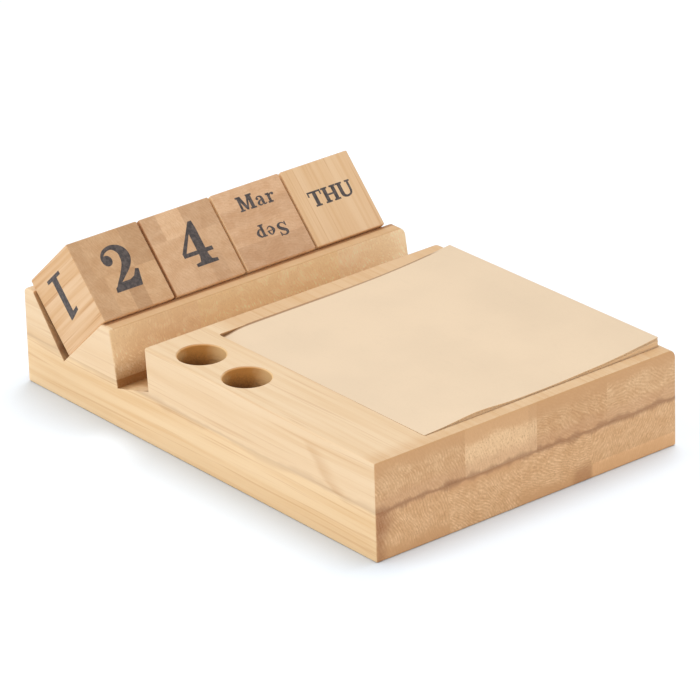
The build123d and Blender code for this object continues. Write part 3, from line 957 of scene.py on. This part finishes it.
overLeft, overRear = pad["over"]
sheetRear = blockHigh.y + overRear + pad["reach"]
sheetFinish = paper("kraftPaper", pad["paper"], pad["edges"], pad["edgeLines"], sheetRear)
for count in range(pad["sheets"]):
    shift = pad["shift"] * math.sin(count * 2.4)
    reach = pad["reach"] if count < 2 else 0.0
    low = (blockLow.x - reach - overLeft, blockLow.y + abs(shift))
    high = (blockHigh.x - pad["short"] - abs(shift), sheetRear - pad["reach"] + reach)
    sheet = gridSheet(f"pad_loose_sheet_{count + 1}", low, high, pad["columns"], pad["rows"])
    for point in sheet.data.vertices:
        x, y = point.co.x / mm, point.co.y / mm
        ripple = pad["ripple"] * math.sin(x * 0.31 + count * 1.7) * math.sin(y * 0.23 + count)
        point.co.z = (layerHeight(x, y, count) + ripple) * mm
    thicken(sheet, pad["thick"], -1)
    nodes = ["pad_top_sheets"] if count == 0 else []
    finishPiece(sheet, sheetFinish, "memo_pad", "kraft_paper", *nodes)
print("loose sheets laid")

# The block of sheets under them: its top follows the curl, its sides show the edges of the sheets
block = gridSheet("pad_block", blockLow, blockHigh, pad["columns"], pad["rows"])
for point in block.data.vertices:
    point.co.z = layerHeight(point.co.x / mm, point.co.y / mm, pad["sheets"]) * mm
pick(block)
editAll()
bpy.ops.mesh.extrude_region_move(TRANSFORM_OT_translate={"value": (0, 0, -pad["drop"] * mm)})
bpy.ops.mesh.select_mode(type="EDGE")
leaveEdit()
for point in block.data.vertices:
    if point.select:
        point.co.z = blockLow.z * mm
for edge in block.data.edges:
    one, other = (block.data.vertices[place].co for place in edge.vertices)
    edge.select = abs(one.z - other.z) > pad["upright"] * mm
for part in [*block.data.vertices, *block.data.polygons]:
    part.select = False
bpy.ops.object.mode_set(mode="EDIT")
bpy.ops.mesh.subdivide(number_cuts=pad["layers"])
bpy.ops.mesh.select_mode(type="VERT")
bpy.ops.mesh.select_all(action="SELECT")
bpy.ops.mesh.normals_make_consistent(inside=False)
leaveEdit()
for point in block.data.vertices:  # each layer of the sides goes in by a little of its own
    place = point.co / mm
    top = layerHeight(place.x, place.y, pad["sheets"])
    layer = round((place.z - blockLow.z) / (top - blockLow.z) * (pad["layers"] + 1))
    inset = pad["layerStep"] * (1 + math.sin(layer * 2.6) * 0.5 + (layer % 2))
    for axis in (0, 1):
        if abs(place[axis] - blockLow[axis]) < pad["same"]:
            point.co[axis] += inset * mm
        if abs(place[axis] - blockHigh[axis]) < pad["same"]:
            point.co[axis] -= inset * mm
finishPiece(block, sheetFinish, "memo_pad", "kraft_paper", "pad_sheet_block")

# The gum along the left side, a little lumpy
gum = {
    "columns": 16,
    "rows": 120,
    "thick": 0.16,
    "inside": 0.06,  # from the left side of the pad
    "lumps": (0.03, 0.02),  # height of the long ones and of the short ones
    "colour": (238, 226, 204),
    "shade": (222, 204, 172),
}
gumStrip = gridSheet("pad_gum", (glueLow.z, glueLow.y), (glueHigh.z, glueHigh.y), gum["columns"], gum["rows"])
longLump, shortLump = gum["lumps"]
for point in gumStrip.data.vertices:  # it lies flat with its height along X, and is stood up here
    z, y = point.co.x / mm, point.co.y / mm
    lump = longLump * math.sin(y * 0.9 + math.sin(z * 1.3) * 2) + shortLump * math.sin(y * 2.3 + z)
    point.co = Vector((glueLow.x + gum["inside"] + lump, y, z)) * mm
thicken(gumStrip, gum["thick"], 1)
editAll()
bpy.ops.mesh.normals_make_consistent(inside=False)
leaveEdit()
gumLook = Finish(bpy.data.materials.new("padGum"))
cloud = gumLook.noise(gumLook.coords(), 300.0, 3.0, 0.6)
gumColour = gumLook.blend(gumLook.ramp(cloud, 0.35, 0.7), paint(*gum["colour"]), paint(*gum["shade"]))
gumFinish = gumLook.surface(gumColour, 0.35 + cloud * 0.2, cloud, 0.05, 0.6)
finishPiece(gumStrip, gumFinish, "memo_pad", "pad_glue", "pad_glue_edge")

# The card under the pad
card = {
    "bevel": 0.18,
    "face": (176, 152, 122),
    "edge": (158, 134, 104),
    "edgeLines": 0.5,
}
deselectAll()
bpy.ops.mesh.primitive_cube_add(size=1)
cardPiece = bpy.context.object
cardPiece.name = cardPiece.data.name = "pad_card"
editAll()
bpy.ops.transform.resize(value=tuple((cardHigh - cardLow) * mm))
bpy.ops.transform.translate(value=tuple((cardHigh + cardLow) / 2 * mm))
bpy.ops.mesh.bevel(offset=card["bevel"] * mm, segments=2, affect="EDGES")
leaveEdit()
cardFinish = paper("greyCard", card["face"], card["edge"], card["edgeLines"])
finishPiece(cardPiece, cardFinish, "memo_pad", "backing_card", "pad_backing_card")
print("pad made")

# Floor, light and camera

studio = {
    "floorSize": 8.0,
    "floorDrop": 0.00002,  # under the block, in metres
    "floorColour": (0.64, 0.65, 0.67, 1.0),
    "floorSeen": (0.705, 0.755, 0.805, 1.0),  # as the camera sees it, a little beyond white in the light
    "floorPlain": (0.2, 0.45),  # from here on it is plain white, in metres from the middle
    "worldStrength": 0.85,
    "keySize": 2.0,
    "keyPower": 14.0,
    "keyPlace": (-1.6, 0.6, 1.8),
    "floorLightSize": 1.15,
    "floorLightPower": 26.0,
    "floorLightPlace": (0.52, 0.16, 1.95),
}


def shareSeen(finish):  # 1 for what the camera sees, also by a reflection or through glass
    camera, glossy, through = (finish.add("ShaderNodeLightPath", None, None, out) for out in (0, 3, 6))
    return camera.maths("MAXIMUM", camera, glossy.maths("MAXIMUM", glossy, through))


def areaLight(name, place, size, power):
    bpy.ops.object.light_add(type="AREA", location=place)
    light = bpy.context.object
    light.name = name
    light.data.size = size
    light.data.energy = power
    light.rotation_euler = (-Vector(place)).to_track_quat("-Z", "Y").to_euler()
    return light


bpy.ops.mesh.primitive_plane_add(size=studio["floorSize"], location=(0, 0, -studio["floorDrop"]))
floor = bpy.context.object
floor.name = "floor"
floorFinish = Finish(bpy.data.materials.new("floorWhite"))
dull = floorFinish.add("ShaderNodeBsdfDiffuse", None, {"Color": studio["floorColour"]})
bright = floorFinish.add("ShaderNodeBsdfDiffuse", None, {"Color": studio["floorSeen"]})
plain = floorFinish.add("ShaderNodeEmission", None, {"Color": (1, 1, 1, 1), "Strength": 1.0})
floorX, floorY, _ = floorFinish.split(floorFinish.coords())
away = floorFinish.ramp((floorX ** 2.0 + floorY ** 2.0) ** 0.5, *studio["floorPlain"])
seen = floorFinish.add("ShaderNodeMixShader", None, {0: away, 1: bright, 2: plain})
mixed = floorFinish.add("ShaderNodeMixShader", None, {0: shareSeen(floorFinish), 1: dull, 2: seen})
floorFinish.add("ShaderNodeOutputMaterial", None, {"Surface": mixed})
floor.data.materials.append(floorFinish.owner)

world = bpy.data.worlds.new("studioWorld")
bpy.context.scene.world = world
worldFinish = Finish(world)
strength = shareSeen(worldFinish) * (1.0 - studio["worldStrength"]) + studio["worldStrength"]
sky = worldFinish.add("ShaderNodeBackground", None, {"Color": (1, 1, 1, 1), "Strength": strength})
worldFinish.add("ShaderNodeOutputWorld", None, {"Surface": sky})

areaLight("keyLight", studio["keyPlace"], studio["keySize"], studio["keyPower"])
# A second light that falls on the floor alone, for the soft shadow at the left and the front
floorLight = areaLight(
    "floorLight", studio["floorLightPlace"], studio["floorLightSize"], studio["floorLightPower"])
floorAlone = bpy.data.collections.new("floorAlone")
floorAlone.objects.link(floor)
floorLight.light_linking.receiver_collection = floorAlone

picture = {
    "aim": (-3.9, -7.1, 23.3),  # the point in the middle of the picture, in millimetres
    "distance": 1500.0,
    "azimuth": 38.63,  # degrees from the front, round to the left
    "elevation": 24.60,
    "roll": -1.70,
    "lens": 270.8,
    "sensor": 36.0,
    "clip": (0.01, 50),  # nearest and furthest that the camera sees, in metres
}
turnedBy, raisedBy = math.radians(picture["azimuth"]), math.radians(picture["elevation"])
towardsCamera = Vector((
    -math.sin(turnedBy) * math.cos(raisedBy), -math.cos(turnedBy) * math.cos(raisedBy), math.sin(raisedBy)))
bpy.ops.object.camera_add(location=(Vector(picture["aim"]) + towardsCamera * picture["distance"]) * mm)
camera = bpy.context.object
camera.rotation_mode = "QUATERNION"
rolled = Matrix.Rotation(math.radians(picture["roll"]), 3, "Z").to_quaternion()
camera.rotation_quaternion = (-towardsCamera).to_track_quat("-Z", "Y") @ rolled
camera.data.lens = picture["lens"]
camera.data.sensor_width = picture["sensor"]
camera.data.clip_start, camera.data.clip_end = picture["clip"]
bpy.context.scene.camera = camera
bpy.context.scene.view_settings.view_transform = "Standard"
print("floor, light and camera ready")
